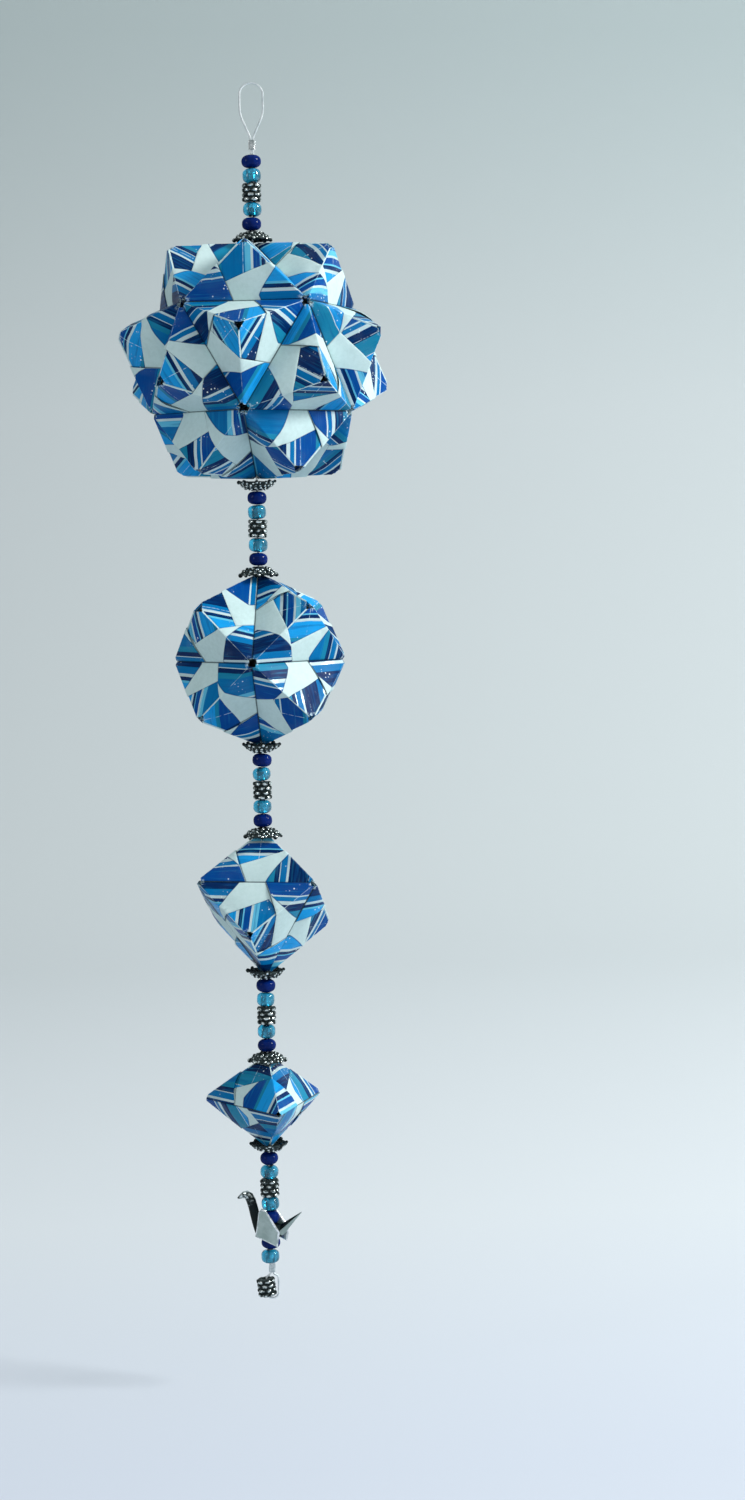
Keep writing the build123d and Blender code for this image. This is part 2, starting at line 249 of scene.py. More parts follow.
# Along the neck and the tail: x, z, width in the plane, thickness across it
NECK = (
    (-2.5, -0.6, 1.9, 1.5), (-2.95, 0.9, 2.05, 1.35), (-3.4, 2.6, 2.1, 1.25),
    (-3.9, 4.6, 2.05, 1.2), (-4.35, 6.0, 2.1, 1.25), (-4.8, 6.75, 2.05, 1.25),
    (-5.35, 7.05, 1.8, 1.2), (-5.95, 6.95, 1.45, 1.0), (-6.6, 6.6, 1.0, 0.7),
    (-7.35, 6.15, 0.36, 0.36),
)
NECK_SIDES, NECK_POWER = 16, 0.85
TAIL = (
    (1.3, -0.5, 2.3, 1.5), (2.25, 0.0, 2.15, 1.2), (3.9, 1.45, 1.5, 0.9),
    (5.5, 2.9, 0.8, 0.6), (7.15, 4.35, 0.12, 0.12),
)
TAIL_SIDES, TAIL_POWER = 8, 1.5
# The body's levels, as height and share of its outline
BODY_LEVELS = ((-1.25, 0.86), (0.0, 1.0), (1.25, 0.86))
BODY_OUTLINE = ((-3.3, 0), (0, -2.7), (3.0, 0), (0, 2.7))

# Camera, as a real one would stand before the string
CAMERA_PLACE = (-10.85, -533.7, -93.8)
CAMERA_PITCH = 4.48
CAMERA_TURN = 3.62
CAMERA_ROLL = -0.85
CAMERA_LENS = 62.17
CAMERA_SENSOR = 36
CAMERA_CLIP_METRES = (0.01, 20)

# Stage, in metres: a floor that runs from the front under the string, bends and climbs
FLOOR_DROP = 0.019
SWEEP_FRONT, SWEEP_BACK, SWEEP_TOP, SWEEP_REACH = -0.9, 1.0, 1.6, 1.6
SWEEP_BEND, SWEEP_BEND_STEPS = 0.45, 16
# Its colours from front to top, at shares of a length, brighter to the right for each metre: painted
# shade that makes it darker towards the top and to the left
SWEEP_LENGTH = 2.3
SWEEP_COLOURS = (
    (0.37, (0.455, 0.50, 0.565)), (0.45, (0.505, 0.547, 0.575)), (0.70, (0.455, 0.50, 0.512)),
    (0.85, (0.415, 0.457, 0.467)), (0.95, (0.315, 0.372, 0.377)),
)
SWEEP_SIDE_SLOPE = 0.42
SWEEP_GLOW = 0.42

# Light, in metres and watts: the room is brighter on one side than on the other
LAMP_AIM = (0, 0, -0.12)
ROOM_COLOUR = (0.92, 0.97, 1.0)
ROOM_BRIGHT_SIDE = (0.62, -0.35, 0.70)
ROOM_STRENGTHS = (0.21, 0.67)


# Objects and meshes

def turned(degrees, axis):
    return Matrix.Rotation(radians(degrees), 4, axis)


def moved(x, y, z):
    return Matrix.Translation((x, y, z))


def in_scene(name, data):
    """Puts an object in the scene."""
    made = bpy.data.objects.new(name, data)
    bpy.context.scene.collection.objects.link(made)
    return made


def new_piece(name, verts, faces, finishes, materials, node):
    """Makes a piece that stands for a node, in metres from millimetre vertices."""
    mesh = bpy.data.meshes.new(name)
    mesh.from_pydata([Vector(v) * MM for v in verts], [], faces)
    mesh.validate()
    mesh.shade_smooth()
    for material in materials:
        mesh.materials.append(material)
    mesh.polygons.foreach_set("material_index", finishes)
    made = in_scene(name, mesh)
    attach(made, "root")
    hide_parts(node)
    return made


class Pile:
    """Collects the closed pieces of one mesh, each with its finish and its wear, which on the crane's
    neck is a painted highlight.
    """

    def __init__(self):
        self.verts, self.faces, self.finishes, self.wear = [], [], [], []

    def put(self, verts, faces, place, finish=0, outward=None):
        """Adds a piece, bright on its outward side where that is given: worn bright on grains, and a
        painted highlight on the crane's head.
        """
        start = len(self.verts)
        self.verts += [place @ Vector(v) for v in verts]
        self.faces += [[start + i for i in face] for face in faces]
        self.finishes += finish if isinstance(finish, list) else [finish] * len(faces)
        if outward is None:
            self.wear += [EVEN_WEAR] * len(verts)
        else:
            depths = [Vector(v).dot(outward) for v in verts]
            low, high = min(depths), max(depths)
            self.wear += [(depth - low) / (high - low) for depth in depths]

    def made(self, name, materials, slot, node):
        made = new_piece(name, self.verts, self.faces, self.finishes, materials, node)
        made.data.attributes.new("WearAndHighlight", "FLOAT", "POINT").data.foreach_set("value", self.wear)
        return made


def spread(count):
    """Gives the angles of points spread evenly round a circle."""
    return [2 * pi * index / count for index in range(count)]


def lathe(profile, segments):
    """Turns a closed profile round Z. Its outer side runs upwards."""
    count = len(profile)
    verts = [
        (radius * cos(angle), radius * sin(angle), height)
        for angle in spread(segments) for radius, height in profile
    ]
    faces = []
    for turn in range(segments):
        here, after = turn * count, (turn + 1) % segments * count
        for i in range(count):
            j = (i + 1) % count
            faces.append([here + i, after + i, after + j, here + j])
    return verts, faces


def grain(radius, shape=(1, 1, 1), rings=6, segments=10):
    """Makes a rounded grain, which shape stretches along each axis."""
    a, b, c = (radius * stretch for stretch in shape)
    verts = [(0, 0, c)]
    for row in range(1, rings):
        tilt = pi * row / rings
        for angle in spread(segments):
            verts.append((a * sin(tilt) * cos(angle), b * sin(tilt) * sin(angle), c * cos(tilt)))
    verts.append((0, 0, -c))
    last = len(verts) - 1
    faces = []
    for turn in range(segments):
        after = (turn + 1) % segments
        faces.append([0, 1 + turn, 1 + after])
        faces.append([last, last - segments + after, last - segments + turn])
        for low in range(1, last - segments, segments):
            high = low + segments
            faces.append([low + turn, high + turn, high + after, low + after])
    return verts, faces


def sleeve(rings, count):
    """Gives the faces round rings of count points each, and then the two ends."""
    last = (rings - 1) * count
    faces = [
        [low + i, low + (i + 1) % count, low + count + (i + 1) % count, low + count + i]
        for low in range(0, last, count) for i in range(count)
    ]
    return faces + [list(reversed(range(count))), list(range(last, last + count))]


def node_points(node):
    """Gives the vertices of a node in millimetres."""
    return [v.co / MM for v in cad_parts[node].data.vertices]


def stations(node):
    """Gives the middle height of each piece threaded in a node."""
    heights = sorted((p.z for p in node_points(node)), reverse=True)
    groups = [[heights[0]]]
    for height in heights[1:]:
        if groups[-1][-1] - height > THREADED_GAP:
            groups.append([])
        groups[-1].append(height)
    return [(group[0] + group[-1]) / 2 for group in groups]


# Materials

class Graph:
    """Writes the nodes of a material or a world round its shader."""

    def __init__(self, owner, shader="Principled BSDF"):
        owner.use_nodes = True
        self.owner = owner
        self.tree = owner.node_tree
        self.shader = self.tree.nodes[shader]

    def feed(self, socket, value):
        """Links a socket to another one or sets its value, a colour without its alpha."""
        if isinstance(value, bpy.types.NodeSocket):
            self.tree.links.new(value, socket)
        else:
            socket.default_value = (*value, 1) if socket.type == "RGBA" else value

    def node(self, kind, settings=None, **inputs):
        made = self.tree.nodes.new(kind)
        for key, value in (settings or {}).items():
            setattr(made, key, value)
        for key, value in inputs.items():
            self.feed(made.inputs[key.replace("_", " ")], value)
        return made

    def set(self, **inputs):
        for key, value in inputs.items():
            self.feed(self.shader.inputs[key.replace("_", " ")], value)

    def numbered(self, kind, settings, *values):
        """Makes a node whose inputs are told apart by their order."""
        made = self.node(kind, settings)
        for index, value in enumerate(values):
            self.feed(made.inputs[index], value)
        return made

    def math(self, operation, *values):
        return self.numbered("ShaderNodeMath", {"operation": operation}, *values).outputs[0]

    def total(self, *values):
        return reduce(partial(self.math, "ADD"), values)

    def product(self, *values):
        return reduce(partial(self.math, "MULTIPLY"), values)

    def most(self, *values):
        return reduce(partial(self.math, "MAXIMUM"), values)

    def less(self, value, taken):
        return self.math("SUBTRACT", value, taken)

    def far(self, value, middle=0):
        """Gives how far a value is from the middle."""
        return self.math("ABSOLUTE", self.less(value, middle))

    def step(self, value, low, high):
        """Runs smoothly from 0 at low to 1 at high, where low may be above high."""
        ends = (1.0, 0.0) if low > high else (0.0, 1.0)
        return self.node(
            "ShaderNodeMapRange", {"interpolation_type": "SMOOTHSTEP"}, Value=value,
            From_Min=min(low, high), From_Max=max(low, high), To_Min=ends[0], To_Max=ends[1],
        ).outputs["Result"]

    def mix(self, share, first, second):
        """Mixes two colours, which are inputs 6 and 7 and output 2 of this node."""
        made = self.numbered("ShaderNodeMix", {"data_type": "RGBA"}, share)
        self.feed(made.inputs[6], first)
        self.feed(made.inputs[7], second)
        return made.outputs[2]

    def ramp(self, value, stops, interpolation="LINEAR"):
        made = self.node("ShaderNodeValToRGB", Fac=value)
        line = made.color_ramp
        line.interpolation = interpolation
        for index, (place, colour) in enumerate(stops):
            stop = line.elements[index] if index < 2 else line.elements.new(place)
            stop.position = place
            stop.color = (*colour, 1)
        return made.outputs["Color"]

    def place(self):
        return self.node("ShaderNodeTexCoord").outputs["Object"]

    def layer(self, name):
        """Gives a UV layer, and its two values apart."""
        both = self.node("ShaderNodeUVMap", {"uv_map": name}).outputs["UV"]
        first, second, _ = self.node("ShaderNodeSeparateXYZ", Vector=both).outputs
        return both, first, second

    def noise(self, scale, detail=2.0, roughness=0.5, vector=None):
        """Gives soft noise, with its scale in waves to the metre or to a unit of the vector."""
        return self.node(
            "ShaderNodeTexNoise", Scale=scale, Detail=detail, Roughness=roughness,
            Vector=vector or self.place(),
        ).outputs["Fac"]

    def bump(self, height, strength, distance, socket="Normal"):
        made = self.node("ShaderNodeBump", Strength=strength, Distance=distance, Height=height)
        self.feed(self.shader.inputs[socket], made.outputs["Normal"])


def field_depth(g):
    """Is under 1 inside a field of stripes, 1 on its edge and more outside."""
    _, s, t = g.layer("Sheet")
    across, along = g.far(s, SHEET_MIDDLE[0]), g.far(t, SHEET_MIDDLE[1])
    fields = []
    for outward, sideways in ((across, along), (along, across)):
        out = g.math("DIVIDE", g.far(outward, FIELD_PLACE), FIELD_REACH)
        side = g.math("DIVIDE", sideways, FIELD_HALF_WIDTH)
        fields.append(g.total(*(g.math("POWER", part, FIELD_POWER) for part in (out, side))))
    return g.math("MINIMUM", *fields)


def stripe_bands(g, across):
    """Gives the colour at a distance across the stripes, and whether it is a silver line."""
    period = sum(width for width, _ in STRIPES)
    colours, silver, place = [], [], 0.0
    for width, colour in STRIPES:
        colours.append((place / period, colour))
        silver.append((place / period, [1.0 if colour == SILVER else 0.0] * 3))
        place += width
    share = g.math("FRACT", g.math("DIVIDE", across, period))
    return g.ramp(share, colours, "CONSTANT"), g.ramp(share, silver, "CONSTANT")


def ink(g, patch):
    """Gives the stripes with streaks and patches of glitter painted near-white as their glints, and
    their silver lines.
    """
    _, across, along = g.layer("Stripes")
    colour, silver = stripe_bands(g, across)
    drawn = g.node("ShaderNodeCombineXYZ", X=g.product(across, 1.3), Y=g.product(along, 0.07))
    streak = g.noise(1.0, 3.0, 0.6, drawn.outputs[0])
    colour = g.mix(g.product(g.step(streak, 0.50, 0.66), 0.45), colour, DEEP_STREAK)
    colour = g.mix(g.product(g.step(streak, 0.46, 0.32), 0.32), colour, LIGHT_STREAK)
    colour = g.mix(g.product(silver, g.step(streak, 0.4, 0.6)), colour, SILVER)

    # Flecks of glitter, painted near-white: a painted highlight that stands for their glints
    flecks = g.node("ShaderNodeTexVoronoi", Scale=1350.0, Vector=g.place()).outputs
    chosen = g.node("ShaderNodeSeparateColor", Color=flecks["Color"]).outputs[0]
    small_flecks = g.product(g.step(flecks["Distance"], 0.26, 0.15), g.step(chosen, 0.30, 0.85))
    glitter_glints = g.product(small_flecks, g.step(patch, 0.56, 0.62))
    return g.mix(glitter_glints, colour, GLITTER_GLINT), silver


def plain_corners(g):
    """Gives their mottled and clouded white."""
    mottle, cloud = g.noise(1100.0, 4.0, 0.6), g.noise(90.0, 2.0)
    tone = g.total(g.product(mottle, 0.6), g.product(cloud, 0.4))
    return g.ramp(tone, ((0.3, DIM_WHITE), (0.5, PAPER_WHITE), (0.7, CLEAR_WHITE)))


class FacePlaces:
    """Where a point lies on its face: how far from each line and corner, and on which layer."""

    def __init__(self, g):
        face, self.x, self.y = g.layer("Face")
        from_start, to_end = g.total(self.x, FOLD), g.less(FOLD, self.x)
        self.left = g.product(g.less(from_start, self.y), sqrt(0.5))
        self.right = g.product(g.less(to_end, self.y), sqrt(0.5))
        beside, above = START_SPLIT
        past_start = g.total(g.product(from_start, beside), g.product(self.y, above))
        self.slit = g.less(SLIT_DISTANCE, past_start)
        self.strip = g.less(g.product(from_start, above), g.product(self.y, beside))
        self.start, self.end, self.apex = (
            g.numbered(
                "ShaderNodeVectorMath", {"operation": "DISTANCE"}, face, (*corner, 0)
            ).outputs["Value"]
            for corner in (START, END, APEX)
        )
        self.on_tab = g.step(self.slit, *LAYER_EDGE)
        self.beside_strip = g.product(self.on_tab, g.step(self.strip, *LAYER_EDGE))


def worn_folds(g, at, striped):
    """Gives the foil that shows on cracked folds and at frayed corners."""
    crack = g.noise(700.0, 3.0, 0.7)
    stretch = g.step(g.noise(150.0, 1.0), 0.40, 0.60)
    ridge = g.most(g.step(at.left, *RIDGE_CRACKS), g.step(at.right, *RIDGE_CRACKS))
    where = g.most(g.step(at.apex, *TIP_CRACKS), g.product(stretch, 0.75))
    ridge = g.product(ridge, g.step(crack, 0.36, 0.56), where)
    middle = g.step(g.far(at.x), *STRIP_CRACKS)
    middle = g.product(at.beside_strip, middle, g.step(crack, 0.40, 0.58), striped)
    frayed = g.most(
        g.step(at.start, *SEAM_END_FRAY), g.step(at.end, *SEAM_END_FRAY),
        g.step(at.apex, *TIP_FRAY),
    )
    frayed = g.product(frayed, g.step(g.noise(1500.0, 3.0, 0.6), 0.52, 0.62))
    return g.most(ridge, g.product(middle, 0.8), g.product(frayed, 0.8))


def gap_shade(g, at):
    """Gives the painted shade in the slit, along the seam and beside the strip."""
    in_slit = g.product(at.on_tab, g.step(at.slit, *SLIT_DARK))
    at_seam = g.product(g.step(at.y, *SEAM_DARK), 0.85)
    by_strip = g.product(at.beside_strip, g.step(at.strip, *STRIP_DARK), 0.6)
    return g.most(in_slit, at_seam, by_strip)


def crushed(g, at):
    """Gives the fine relief of the sheet, which is crushed near its folds."""
    near_fold = g.most(
        g.step(at.left, *RIDGE_CRUSH), g.step(at.right, *RIDGE_CRUSH),
        g.step(at.apex, *TIP_CRUSH),
    )
    depth = g.total(g.product(near_fold, 0.55), 0.12)
    crush, fine = g.noise(750.0, 4.0, 0.65), g.noise(3000.0, 2.0, 0.6)
    return g.total(g.product(fine, 0.05), g.product(crush, depth))


def printed_paper():
    """Glossy origami paper: fields of stripes, plain corners, worn and shaded folds."""
    g = Graph(bpy.data.materials.new("striped_paper"))
    depth = field_depth(g)
    striped = g.step(depth, 1.012, 0.995)
    rim = g.product(g.step(depth, 0.965, 0.99), g.step(depth, 1.02, 0.995))
    patch = g.noise(210.0, 3.0)
    inked, silver = ink(g, patch)
    colour = g.mix(striped, plain_corners(g), inked)
    colour = g.mix(g.product(rim, 0.55), colour, FIELD_RIM)
    at = FacePlaces(g)
    # Painted shade in the slit, along the seam and beside the strip
    colour = g.mix(g.product(gap_shade(g, at), 0.78), colour, GAP_SHADE)
    colour = g.mix(g.product(worn_folds(g, at, striped), 0.9), colour, BARE_FOIL)
    g.bump(crushed(g, at), 0.5, 0.0004)
    # Varnish with broken gloss over the inked part
    g.bump(g.noise(2900.0, 2.0, 0.7), 0.9, 0.0004, "Coat Normal")
    g.set(
        Base_Color=colour, Roughness=g.less(0.5, g.product(striped, 0.16)),
        Metallic=g.product(silver, striped, g.step(patch, 0.45, 0.6), 0.4),
        Coat_Weight=g.product(striped, g.step(patch, 0.46, 0.62), 0.26),
        Coat_Roughness=0.08, Specular_IOR_Level=0.04, IOR=1.5,
    )
    return g.owner


def raw_paper():
    """The white inside of the sheet and its cut edges."""
    g = Graph(bpy.data.materials.new("paper_inside"))
    tones = ((0.3, (0.5, 0.55, 0.56)), (0.7, (0.72, 0.76, 0.76)))
    g.set(Base_Color=g.ramp(g.noise(800.0, 4.0), tones), Roughness=0.7)
    g.bump(g.noise(2500.0, 3.0), 0.3, 0.0001)
    return g.owner


def glass(name, tint, streak, rough, clear, gloss, coat):
    """Coloured glass with drawn streaks."""
    g = Graph(bpy.data.materials.new(name))
    drawn = g.node("ShaderNodeMapping", Vector=g.place(), Scale=(1.0, 1.0, 0.25))
    tones = ((0.35, tuple(channel * streak for channel in tint)), (0.65, tint))
    g.set(
        Base_Color=g.ramp(g.noise(800.0, 3.0, 0.5, drawn.outputs["Vector"]), tones),
        Roughness=rough, Transmission_Weight=clear, Specular_IOR_Level=gloss, IOR=1.5,
        Coat_Weight=coat, Coat_Roughness=0.06,
    )
    g.bump(g.noise(380.0, 1.0), 0.15, 0.0004)
    return g.owner


def metal(name, low, high, rough, wear_scale, relief, metallic=1.0, gloss=0.5):
    """Metal whose tone and roughness vary with wear."""
    g = Graph(bpy.data.materials.new(name))
    wear = g.noise(wear_scale, 4.0, 0.6)
    g.set(
        Base_Color=g.ramp(wear, ((0.35, low), (0.62, high))),
        Roughness=g.total(g.product(wear, 0.18), rough),
        Metallic=metallic, Specular_IOR_Level=gloss,
    )
    g.bump(g.noise(wear_scale * 2.5, 3.0), relief, 0.0002)
    return g.owner


def antiqued(name):
    """Silver that is dark in its grooves and rubbed bright on its grains; on the crane's neck its
    bright is a painted highlight on the top of the head.
    """
    g = Graph(bpy.data.materials.new(name))
    wear = g.node("ShaderNodeAttribute", {"attribute_name": "WearAndHighlight"}).outputs["Fac"]
    uneven = g.less(g.noise(1500.0, 3.0, 0.6), 0.5)
    worn = g.step(g.total(wear, g.product(uneven, 1.2)), 0.66, 1.04)
    tones = (
        (0.0, (0.006, 0.012, 0.013)), (0.5, (0.075, 0.095, 0.095)), (1.0, (0.72, 0.79, 0.77)),
    )
    g.set(
        Base_Color=g.ramp(worn, tones), Roughness=g.less(0.40, g.product(worn, 0.26)),
        Metallic=g.step(worn, 0.05, 0.4), Specular_IOR_Level=0.12,
    )
    g.bump(g.noise(2600.0, 3.0), 0.2, 0.0002)
    return g.owner


paper = printed_paper()
paper_inside = raw_paper()
# Glass: tint, share of it in the streaks, roughness, clearness, gloss, coat
cobalt = glass("cobalt_glass", (0.001, 0.017, 0.15), 0.6, 0.03, 0.05, 0.0, 0.14)
aqua = glass("aqua_glass", (0.045, 0.56, 0.87), 0.45, 0.05, 0.85, 0.5, 0.15)
# Metals: dull and worn tone, roughness, waves of wear to the metre, relief
lining = metal("silver_lining", (0.05, 0.15, 0.17), (0.9, 0.99, 1.0), 0.2, 900.0, 0.6)
grooves = metal(
    "dark_patina", (0.006, 0.014, 0.015), (0.035, 0.052, 0.052), 0.35, 700.0, 0.4,
    metallic=0.0, gloss=0.12,
)
cast = metal("cast_silver", (0.31, 0.39, 0.36), (0.43, 0.51, 0.48), 0.30, 420.0, 0.2)
polished = metal(
    "polished_silver", (0.008, 0.015, 0.016), (0.045, 0.065, 0.066), 0.12, 260.0, 0.1
)
bright = metal("bright_silver", (0.34, 0.40, 0.40), (0.93, 0.96, 0.96), 0.16, 900.0, 0.3)
wire_steel = metal("steel_wire", (0.62, 0.70, 0.72), (0.95, 0.98, 0.98), 0.38, 420.0, 0.3)
grains = antiqued("antique_silver")


# Paper units: outlines of the layers on a face

def clipped(outline, point, inward):
    """Gives the part of a convex outline that lies inward of a line through point."""
    kept = []
    depths = [(x - point[0]) * inward[0] + (y - point[1]) * inward[1] for x, y in outline]
    for index, (x, y) in enumerate(outline):
        before = index - 1
        if (depths[before] > 0) != (depths[index] > 0):
            share = depths[before] / (depths[before] - depths[index])
            x0, y0 = outline[before]
            kept.append((x0 + share * (x - x0), y0 + share * (y - y0)))
        if depths[index] > 0:
            kept.append((x, y))
    return kept


def beyond(point, direction, distance):
    return (point[0] + direction[0] * distance, point[1] + direction[1] * distance)


def flipped(direction):
    return (-direction[0], -direction[1])


def sides_of(outline):
    """Gives each side of an outline as its two ends and its length."""
    for index, (x0, y0) in enumerate(outline):
        x1, y1 = outline[(index + 1) % len(outline)]
        yield x0, y0, x1, y1, hypot(x1 - x0, y1 - y0)


def sampled(outline, spacing):
    """Divides the sides of an outline into equal lengths near spacing."""
    points = []
    for x0, y0, x1, y1, length in sides_of(outline):
        parts = max(1, round(length / spacing))
        points += [(x0 + (x1 - x0) * i / parts, y0 + (y1 - y0) * i / parts) for i in range(parts)]
    return points


def shrunk(outline, distance):
    """Moves each side of a convex outline inwards."""
    result = outline
    for x0, y0, x1, y1, length in sides_of(outline):
        inward = (-(y1 - y0) / length, (x1 - x0) / length)
        result = clipped(result, beyond((x0, y0), inward, distance), inward)
    return result


def depth_in(outline, x, y):
    """Distance of a point from the nearest side of a convex outline."""
    return min(
        ((y - y0) * (x1 - x0) - (x - x0) * (y1 - y0)) / length
        for x0, y0, x1, y1, length in sides_of(outline)
    )


def grid_within(outline, distance):
    """Gives the points of a triangular grid further inside an outline than distance."""
    xs, ys = [p[0] for p in outline], [p[1] for p in outline]
    points = []
    row = 0
    y = min(ys)
    while y < max(ys):
        x = min(xs) + (row % 2) * PAPER_SPACING / 2
        while x < max(xs):
            if depth_in(outline, x, y) > distance:
                points.append((x, y))
            x += PAPER_SPACING
        y += PAPER_SPACING * sqrt(0.75)
        row += 1
    return points


def meshed(outline):
    """Gives the points and triangles within an outline, each point's drop, and its edge."""
    before = outline[-1:] + outline
    outline = [
        (x, y) for (x, y), (x0, y0) in zip(outline, before) if hypot(x - x0, y - y0) > SHORTEST_SIDE
    ]
    points = sampled(outline, PAPER_SPACING)
    rim = range(len(points))
    drops = [EDGE_DROP] * len(rim)
    for distance, drop in ROUNDING:
        inner = shrunk(outline, distance)
        if len(inner) > 2:
            points += sampled(inner, PAPER_SPACING)
            drops += [drop] * (len(points) - len(drops))
    points += grid_within(outline, ROUNDING[-1][0] + PAPER_SPACING / 2)
    drops += [0.0] * (len(points) - len(drops))
    flat, _, triangles, origins, _, _ = delaunay_2d_cdt(
        [Vector(p) for p in points], [], [list(rim)], ONLY_INSIDE, SAME_POINT
    )
    drop_of = [drops[origin[0]] if origin else 0.0 for origin in origins]
    place_of = {origin: index for index, found in enumerate(origins) for origin in found}
    return [tuple(p) for p in flat], triangles, drop_of, [place_of[i] for i in rim]


def from_left(x, y):
    """Distance of a point from the left leg of its face."""
    return (x + FOLD - y) * sqrt(0.5)


def from_right(x, y):
    return (FOLD - x - y) * sqrt(0.5)


def inside_slit(x, y):
    """Distance into the flap from the slit that the tab goes under."""
    return SLIT_DISTANCE - (x + FOLD) * START_SPLIT[0] - y * START_SPLIT[1]


def eased(value):
    """Runs smoothly from 0 to 1."""
    value = min(max(value, 0.0), 1.0)
    return value * value * (3 - 2 * value)


# Where a point of each layer lies on the unfolded sheet, in quarters of its side
PLACE_ON_SHEET = {
    "core": lambda x, y: (1 + x / FOLD, 2 + y / FOLD),
    "flap": lambda x, y: (-(x / FOLD + 1), y / FOLD + 2),
    "tab": lambda x, y: (1 + x / FOLD, 4 - y / FOLD),
    "strip": lambda x, y: (-y / FOLD, 3 - x / FOLD),
}


class UnitMesh:
    """Builds the mesh of one unit in the frame of its seam."""

    def __init__(self, seam_level, place, print_size):
        self.seam_level = seam_level
        self.place = place
        self.print_size = print_size
        base_distance = sqrt(max(seam_level**2 - BASE_INRADIUS**2, 0))
        apex_distance = base_distance + PYRAMID_HEIGHT
        self.apex = Vector((0, BASE_INRADIUS, base_distance)) * (apex_distance / seam_level)
        self.climb = (self.apex - Vector((0, 0, seam_level))).normalized()
        self.face_distance = Vector((1, 0, 0)).cross(self.climb).z * seam_level
        self.verts, self.faces, self.finishes = [], [], []
        self.sheet_places, self.face_places = [], []
        self.shift = [draw.uniform(-PRINT_SHIFT, PRINT_SHIFT) for _ in range(2)]
        self.turn = radians(draw.choice((0, 90)) + draw.uniform(-STRIPE_TILT, STRIPE_TILT))
        self.start = draw.uniform(*STRIPES_START)

    def point(self, x, y, height):
        """Gives the place of a point at a height over its face."""
        on_plane = Vector((x, self.climb.y * y, self.seam_level + self.climb.z * y))
        return on_plane * (1 + height / self.face_distance)

    def lift(self, x, y, turn):
        """Gives how far the paper bulges and warps outwards away from its edges."""
        calm = eased(from_left(x, y) / EDGE_CALM) * eased(from_right(x, y) / EDGE_CALM)
        spot = self.place @ turn @ self.point(x, y, 0)
        return calm * eased(y / EDGE_CALM) * (noise.noise(spot * WARP_SCALE) * WARP + BULGE)

    def layer(self, outline, thickness, rise, part, turn):
        """Adds one closed layer of paper, whose outer side follows rise(x, y)."""
        flat, triangles, drops, rim = meshed(outline)
        lifts = [self.lift(x, y, turn) + rise(x, y) for x, y in flat]
        outer = len(self.verts)
        inner = outer + len(flat)
        for heights in (
            [lift + drop for lift, drop in zip(lifts, drops)], [lift - thickness for lift in lifts]
        ):
            self.verts += [turn @ self.point(*p, height) for p, height in zip(flat, heights)]
        shown = [[outer + i for i in triangle] for triangle in triangles]
        shown += [[outer + j, outer + i, inner + i, inner + j] for i, j in zip(rim, rim[1:] + rim[:1])]
        hidden = [[inner + i for i in reversed(triangle)] for triangle in triangles]
        self.faces += shown + hidden
        self.finishes += [0] * len(shown) + [1] * len(hidden)
        places = [flat[(index - outer) % len(flat)] for face in shown + hidden for index in face]
        self.face_places += places
        self.sheet_places += [PLACE_ON_SHEET[part](x, y) for x, y in places]

    def half(self, turn):
        """Adds the layers of one face and of the tab that it tucks under the next unit's flap."""
        face = [START, END, APEX]
        for corner, inward in ((START, START_SPLIT), (END, END_SPLIT), (APEX, DOWN)):
            face = clipped(face, beyond(corner, inward, draw.uniform(*CORNER_CUTS)), inward)
        lip = LIP_LIFT * draw.uniform(*LIP_SHARES)
        core = clipped(face, beyond(END, FROM_RIGHT, SLIP), FROM_RIGHT)
        fold = clipped(face, beyond(START, FROM_LEFT, FOLD_WIDTH), flipped(FROM_LEFT))
        flap = clipped(face, beyond(START, START_SPLIT, SLIT_DISTANCE), flipped(START_SPLIT))
        tab = clipped(face, beyond(START, FROM_LEFT, FOLD_WIDTH + SLIP), FROM_LEFT)
        tab = clipped(tab, (0, SLIP), UP)
        strip = clipped(tab, START, UNDER_SPLIT)

        def flap_rise(x, y):
            near_ridge = 1 - eased(from_left(x, y) / RIDGE_REACH)
            near_slit = 1 - eased(inside_slit(x, y) / LIP_WIDTH)
            lifted = lip * near_slit * eased(y / LIP_FADE) * eased(from_left(x, y) / LIP_FADE)
            return FLAP_TOP - (FLAP_TOP - RIDGE_TOP) * near_ridge + lifted

        def strip_rise(x, y):
            near_ridge = 1 - eased(from_right(x, y) / RIDGE_REACH)
            return STRIP_TOP + (RIDGE_TOP - STRIP_TOP) * near_ridge

        self.layer(core, CORE_THICKNESS, lambda x, y: CORE_TOP, "core", turn)
        self.layer(fold, TAB_THICKNESS, lambda x, y: TAB_TOP, "flap", turn)
        self.layer(flap, FLAP_THICKNESS, flap_rise, "flap", turn)
        next_face = turn @ turned(NEXT_FACE_TURN, self.apex)
        self.layer(tab, TAB_THICKNESS, lambda x, y: TAB_TOP, "tab", next_face)
        self.layer(strip, FLAP_THICKNESS, strip_rise, "strip", next_face)

    def print_layers(self):
        """Gives each corner's place on the printed sheet, in the stripes and on its face."""
        cosine, sine = cos(self.turn), sin(self.turn)
        sheet, stripes = [], []
        for s, t in self.sheet_places:
            for value, middle, shift in zip((s, t), SHEET_MIDDLE, self.shift):
                sheet.append(middle + (value - middle) / self.print_size + shift)
            stripes.append((s * cosine + t * sine) * FOLD + self.start)
            stripes.append((t * cosine - s * sine) * FOLD)
        face = [value for place in self.face_places for value in place]
        return {"Sheet": sheet, "Stripes": stripes, "Face": face}

